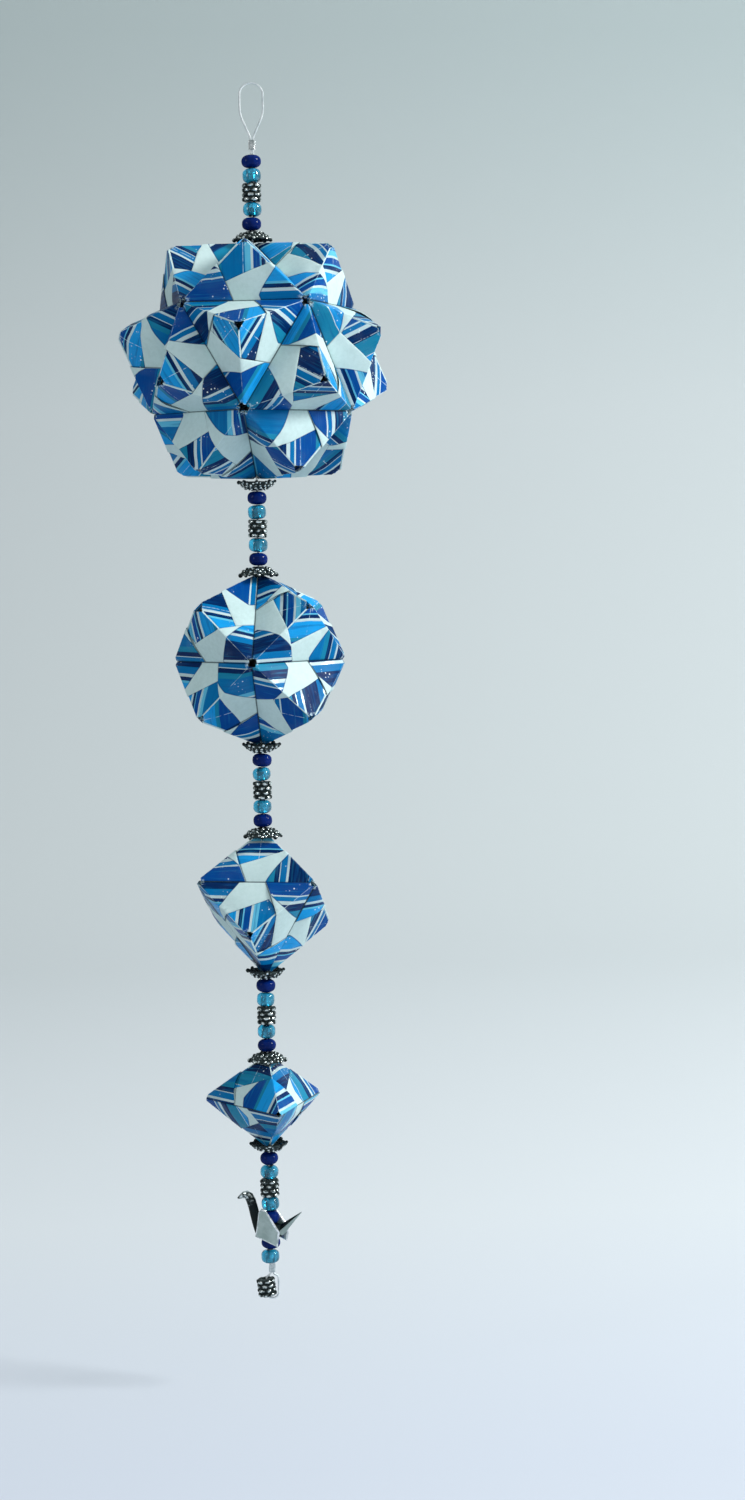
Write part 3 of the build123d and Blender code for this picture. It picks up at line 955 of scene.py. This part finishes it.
    def made(self, node):
        self.half(Matrix.Identity(4))
        self.half(turned(180, "Z"))
        verts = [self.place @ v for v in self.verts]
        made = new_piece(
            "paper_" + node, verts, self.faces, self.finishes, [paper, paper_inside],
            node,
        )
        made.data.set_sharp_from_angle(angle=radians(PAPER_CREASE))
        for layer, values in self.print_layers().items():
            made.data.uv_layers.new(name=layer).data.foreach_set("uv", values)


# Base solids: the seams of a form are the edges of its solid

def ring(count, radius, height, turn):
    """Gives corners spaced evenly round the wire."""
    angles = [radians(turn + 360 * index / count) for index in range(count)]
    return [Vector((radius * cos(angle), radius * sin(angle), height)) for angle in angles]


def on_wire(height):
    return Vector((0, 0, height))


GOLDEN = (1 + sqrt(5)) / 2
BALL_RADIUS = SEAM * sqrt(GOLDEN * sqrt(5)) / 2
BALL_RING = BALL_RADIUS / sqrt(5)
HALF_STEP = 360 / 5 / 2
ROUND_RADIUS = SEAM / sqrt(2)
CUBE_RADIUS = SEAM * sqrt(3 / 8)
GEM_RADIUS = SEAM / sqrt(3)
BASE_SOLIDS = {
    "ball": [
        on_wire(BALL_RADIUS), *ring(5, 2 * BALL_RING, BALL_RING, BALL_TURN),
        *ring(5, 2 * BALL_RING, -BALL_RING, BALL_TURN + HALF_STEP), on_wire(-BALL_RADIUS),
    ],
    "round": [on_wire(ROUND_RADIUS), *ring(4, ROUND_RADIUS, 0, ROUND_TURN), on_wire(-ROUND_RADIUS)],
    "cube": [on_wire(-CUBE_RADIUS), *ring(3, GEM_RADIUS, CUBE_RADIUS / 3, CUBE_TURN)],
    "gem": ring(3, GEM_RADIUS, 0, GEM_TURN),
}
EDGE_TOLERANCE = 0.1


def paper_form(form, corners):
    """Makes the units of one form, each on its seam."""
    nodes = sorted(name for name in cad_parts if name.startswith(form + "_unit"))
    heights = [p.z for node in nodes for p in node_points(node)]
    middle = sum(heights) / len(heights)
    seams = [
        (left, right) for left, right in combinations(corners, 2)
        if abs((right - left).length - SEAM) < EDGE_TOLERANCE
    ]
    for node, (left, right) in zip(nodes, seams):
        x_axis = (right - left).normalized()
        z_axis = (left + right).normalized()
        axes = Matrix((x_axis, z_axis.cross(x_axis), z_axis)).transposed().to_4x4()
        seam_level = ((left + right) / 2).length
        UnitMesh(seam_level, moved(0, 0, middle) @ axes, PRINT_SIZES[form]).made(node)


for form, corners in BASE_SOLIDS.items():
    paper_form(form, corners)


# Glass beads

def bead_profile(outer, half_height, fullness):
    """A bead's section: its rounded side and the straight wall of the hole."""
    points = []
    for i in range(BEAD_STEPS + 1):
        angle = pi * i / BEAD_STEPS - pi / 2
        radius = outer * abs(cos(angle)) ** (2 / fullness)
        if radius > BEAD_SIDE_END:
            height = half_height * abs(sin(angle)) ** (2 / fullness)
            points.append((radius, height if angle > 0 else -height))
    top = half_height * (1 - (BEAD_HOLE / outer) ** fullness) ** (1 / fullness)
    return points + [(BEAD_HOLE, top * share) for share in BEAD_WALL]


def bead_group(name, node, outer, height, fullness, materials, slot):
    """Makes the beads of a node. The last material is on the wall of their holes."""
    pile = Pile()
    for level in stations(node):
        full = fullness * draw.uniform(*BEAD_FULLNESS)
        widest = outer * draw.uniform(*BEAD_WIDTHS)
        profile = bead_profile(widest, height / 2 * draw.uniform(*BEAD_HEIGHTS), full)
        rounded, wall = len(profile) - len(BEAD_WALL), len(BEAD_WALL) - 1
        finish = ([0] * rounded + [len(materials) - 1] * wall + [0]) * BEAD_SEGMENTS
        lean = turned(draw.uniform(*BEAD_LEANS), "Y") @ turned(draw.uniform(*BEAD_LEANS), "X")
        aside = moved(draw.uniform(*BEAD_ASIDES), draw.uniform(*BEAD_ASIDES), level)
        pile.put(*lathe(profile, BEAD_SEGMENTS), aside @ lean, finish)
    pile.made(name, materials, slot, node)


bead_group(
    "dark_glass_beads", "dark_seed_beads", outer=2.0, height=2.84, fullness=2.35,
    materials=[cobalt], slot="cobalt_glass",
)
bead_group(
    "pale_glass_beads", "pale_seed_beads", outer=1.97, height=2.95, fullness=2.9,
    materials=[aqua, lining], slot="aqua_glass",
)


# Silver barrels and bead caps, in bright grains and dark grooves

GRAIN, GROOVE = 0, 1


def barrel(pile, place):
    """Adds a barrel with rows of knurls set off by half a knurl."""
    pillow = grain(KNURL_SIZE, KNURL_SHAPE, KNURL_RINGS, KNURL_SEGMENTS)
    pile.put(*lathe(BARREL_CORE, BARREL_SEGMENTS), place, GROOVE)
    for row in range(BARREL_ROWS):
        height = (row + 0.5) * BARREL_HEIGHT / BARREL_ROWS - BARREL_HEIGHT / 2
        for knurl in range(BARREL_KNURLS):
            angle = 360 * (knurl + row % 2 / 2) / BARREL_KNURLS
            spot = turned(angle, "Z") @ moved(KNURL_RADIUS, 0, height)
            pile.put(*pillow, place @ spot, GRAIN, Vector((1, 0, 0)))


def silver_barrels():
    """Makes the barrels, the last of which leans in the end loop."""
    pile = Pile()
    levels = stations("silver_barrel_beads")
    for level in levels:
        if level == levels[-1]:
            aside, lean = LAST_BARREL_ASIDE, LAST_BARREL_LEAN
        else:
            aside, lean = 0.0, draw.uniform(*BARREL_LEANS)
        place = moved(aside, 0, level) @ turned(lean, "Y")
        barrel(pile, place @ turned(draw.uniform(*BARREL_TURNS), "Z"))
    pile.made("silver_barrels", [grains, grooves], "antique_silver", "silver_barrel_beads")


def cap(pile, place):
    """Adds a cap, placed by its inner ceiling."""
    pile.put(*lathe(CAP_LINING + CAP_DOME, CAP_SEGMENTS), place, GROOVE)
    for radius, height, size, count, turn in GRAIN_ROWS:
        for index in range(count):
            angle = radians(360 * (index + turn) / count)
            one = grain(size * draw.uniform(*GRAIN_SIZES))
            lift = draw.uniform(*GRAIN_LIFTS)
            spot = moved(radius * cos(angle), radius * sin(angle), height + lift)
            pile.put(*one, place @ spot, GRAIN, Vector((cos(angle), sin(angle), 1.0)))
    collar = [
        (COLLAR_RADIUS + COLLAR_SECTION * cos(angle), COLLAR_HEIGHT + COLLAR_SECTION * sin(angle))
        for angle in spread(COLLAR_SIDES)
    ]
    pile.put(*lathe(collar, COLLAR_SEGMENTS), place, GRAIN)


def silver_caps():
    """Makes the caps, which stand on and hang under the forms by turns."""
    pile = Pile()
    middle_height = (CAP_CROWN - CAP_DEPTH) / 2
    for number, level in enumerate(stations("bead_caps")):
        if number % 2:
            place = moved(0, 0, level + middle_height) @ turned(180, "X")
        else:
            place = moved(0, 0, level - middle_height)
        cap(pile, place @ turned(draw.uniform(*CAP_TURNS), "Z"))
    pile.made("silver_bead_caps", [grains, grooves], "antique_silver", "bead_caps")


silver_barrels()
silver_caps()


# Crane charm, with the numbers of its four finishes

CAST, POLISHED, HIGHLIT_HEAD, BRIGHT = range(4)


def spine(knots, sides, power):
    """Sweeps a section along knots in the XZ plane, with a width and a thickness at each."""
    verts = []
    final = len(knots) - 1
    for i, (x, z, width, thick) in enumerate(knots):
        before, after = knots[max(i - 1, 0)], knots[min(i + 1, final)]
        run = Vector((after[0] - before[0], 0, after[1] - before[1])).normalized()
        wide = Vector((0, 1, 0)).cross(run)
        for angle in spread(sides):
            c, s = (abs(part) ** power * (1 if part > 0 else -1) for part in (cos(angle), sin(angle)))
            verts.append(Vector((x, 0, z)) + wide * c * width / 2 + Vector((0, s * thick / 2, 0)))
    return verts, sleeve(len(knots), sides)


def wing(side):
    """A thin kite that leans outwards and bows a little, with rounded edges."""
    points = sampled(WING_OUTLINE, WING_SPACING)
    count = len(points)
    middle_x, middle_z = (sum(values) / count for values in zip(*points))
    lean = turned(-WING_LEANS[side] * side, "X")
    verts = []
    for share, inset in WING_LAYERS:
        for x, z in points:
            pull = 1 - inset / hypot(x - middle_x, z - middle_z)
            x, z = middle_x + (x - middle_x) * pull, middle_z + (z - middle_z) * pull
            bow = WING_BOW * sin(pi * (z - WING_BOTTOM) / (WING_TOP - WING_BOTTOM))
            x -= WING_SWEEPS[side] * max(z - WING_SWEEP_START, 0)
            spot = lean @ Vector((x, side * (WING_THICKNESS * share - bow), z - WING_BOTTOM))
            verts.append(spot + Vector((0, side * WING_FOOT, WING_BOTTOM)))
    faces = sleeve(len(WING_LAYERS), count)
    finishes = [BRIGHT] * (len(faces) - 2) + [CAST] * 2
    if side == FAR:
        faces = [face[::-1] for face in faces]
    return verts, faces, finishes


def crane_body():
    """A low block with four corners, widest at its middle."""
    verts = [(x * share, y * share, height) for height, share in BODY_LEVELS for x, y in BODY_OUTLINE]
    return verts, sleeve(len(BODY_LEVELS), len(BODY_OUTLINE))


def crane():
    """Makes the crane, whose near wing reaches the bottom of its node."""
    wing_bottom = WING_BOTTOM - WING_THICKNESS * sin(radians(WING_LEANS[NEAR]))
    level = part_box("crane_charm")[0].z / MM - wing_bottom
    place = moved(0, 0, level) @ turned(CRANE_TURN, "Z")
    pile = Pile()
    # The neck is dark antique silver with a painted highlight on the top of its head, brightest
    # upwards
    pile.put(*spine(NECK, NECK_SIDES, NECK_POWER), place, HIGHLIT_HEAD, Vector((-0.2, 0, 1)))
    # Painted light and shade: the lower half of the tail takes the paler cast finish as a painted
    # highlight, and its upper half and its ends the dark polished finish as painted shade
    tail_ring_lit_below = [CAST] * 2 + [POLISHED] * 4 + [CAST] * 2
    tail_painted_light = tail_ring_lit_below * (len(TAIL) - 1) + [POLISHED] * 2
    pile.put(*spine(TAIL, TAIL_SIDES, TAIL_POWER), place, tail_painted_light)
    for side in (FAR, NEAR):
        verts, faces, finishes = wing(side)
        pile.put(verts, faces, place, finishes)
    pile.put(*crane_body(), place, POLISHED)
    materials = [cast, polished, grains, bright]
    made = pile.made("silver_crane", materials, "cast_silver", "crane_charm")
    made.data.set_sharp_from_angle(angle=radians(CRANE_CREASE))


crane()


# Finishes of the solids that are carried over

for node, material in (("beading_wire", wire_steel), ("crimp_tubes", bright)):
    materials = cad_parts[node].data.materials
    materials.clear()
    materials.append(material)


# Stage: one pale sweep, with painted shade that makes it darker at the top left

def sweep_paper():
    """Pale paper whose faint glow is seen but doesn't light the string."""
    g = Graph(bpy.data.materials.new("sweep_paper"))
    _, aside, climb = g.layer("Unrolled")
    tone = g.ramp(g.math("DIVIDE", climb, SWEEP_LENGTH), SWEEP_COLOURS)
    sideways = g.total(g.product(aside, SWEEP_SIDE_SLOPE), 1.0)
    scaled = g.node("ShaderNodeVectorMath", {"operation": "SCALE"}, Vector=tone, Scale=sideways)
    tone = scaled.outputs["Vector"]
    rays = g.node("ShaderNodeLightPath").outputs
    seen = g.most(rays["Is Camera Ray"], rays["Is Glossy Ray"], rays["Is Transmission Ray"])
    g.set(
        Base_Color=tone, Roughness=0.9, Emission_Color=tone,
        Emission_Strength=g.product(seen, SWEEP_GLOW),
    )
    return g.owner


def sweep():
    """Makes the sweep below the lowest point of the string."""
    floor_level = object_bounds()[0].z - FLOOR_DROP
    profile = [(SWEEP_FRONT, 0.0)]
    for step in range(SWEEP_BEND_STEPS + 1):
        angle = pi / 2 * step / SWEEP_BEND_STEPS
        depth = SWEEP_BACK - SWEEP_BEND + SWEEP_BEND * sin(angle)
        profile.append((depth, SWEEP_BEND * (1 - cos(angle))))
    profile.append((SWEEP_BACK, SWEEP_TOP))
    lengths = [0.0]
    for (y0, z0), (y1, z1) in zip(profile, profile[1:]):
        lengths.append(lengths[-1] + hypot(y1 - y0, z1 - z0))
    count = len(profile)
    sides = (-SWEEP_REACH, SWEEP_REACH)
    mesh = bpy.data.meshes.new("sweep")
    mesh.from_pydata(
        [(x, y, floor_level + z) for x in sides for y, z in profile], [],
        [[i, i + count, i + count + 1, i + 1] for i in range(count - 1)],
    )
    mesh.shade_smooth()
    unrolled = mesh.uv_layers.new(name="Unrolled").data
    for loop in mesh.loops:
        x = mesh.vertices[loop.vertex_index].co.x
        unrolled[loop.index].uv = (x, lengths[loop.vertex_index % count])
    mesh.materials.append(sweep_paper())
    in_scene("sweep", mesh)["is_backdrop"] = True


sweep()


# Light: a broad soft key from the upper right front, a weak fill from the left, a pale room

def lamp(name, place, size, power, colour):
    data = bpy.data.lights.new(name, "AREA")
    data.shape, data.size, data.energy, data.color = "DISK", size, power, colour
    made = in_scene(name, data)
    made.location = place
    made.rotation_euler = (Vector(LAMP_AIM) - Vector(place)).to_track_quat("-Z", "Y").to_euler()


def room():
    """Makes the world, which is lighter towards its bright side."""
    world = bpy.data.worlds.new("room")
    bpy.context.scene.world = world
    g = Graph(world, "Background")
    direction = g.node("ShaderNodeTexCoord").outputs["Generated"]
    bright_side = Vector(ROOM_BRIGHT_SIDE).normalized()
    facing = g.numbered(
        "ShaderNodeVectorMath", {"operation": "DOT_PRODUCT"}, direction, bright_side
    ).outputs["Value"]
    dark, light = ROOM_STRENGTHS
    level = g.node("ShaderNodeMapRange", Value=facing, From_Min=-1.0, To_Min=dark, To_Max=light)
    g.set(Color=ROOM_COLOUR, Strength=level.outputs["Result"])


def camera():
    data = bpy.data.cameras.new("camera")
    data.lens, data.sensor_width = CAMERA_LENS, CAMERA_SENSOR
    data.clip_start, data.clip_end = CAMERA_CLIP_METRES
    made = in_scene("camera", data)
    made.location = Vector(CAMERA_PLACE) * MM
    aim = turned(-CAMERA_TURN, "Z") @ turned(90 - CAMERA_PITCH, "X") @ turned(CAMERA_ROLL, "Z")
    made.rotation_mode = "QUATERNION"
    made.rotation_quaternion = aim.to_quaternion()
    bpy.context.scene.camera = made


lamp("key", place=(1.01, -0.27, 0.47), size=0.36, power=14.0, colour=(1.0, 1.0, 0.99))
lamp("fill", place=(-0.84, -0.44, 0.12), size=0.3, power=1.25, colour=(0.95, 0.98, 1.0))
room()
camera()
bpy.context.scene.view_settings.view_transform = "Standard"
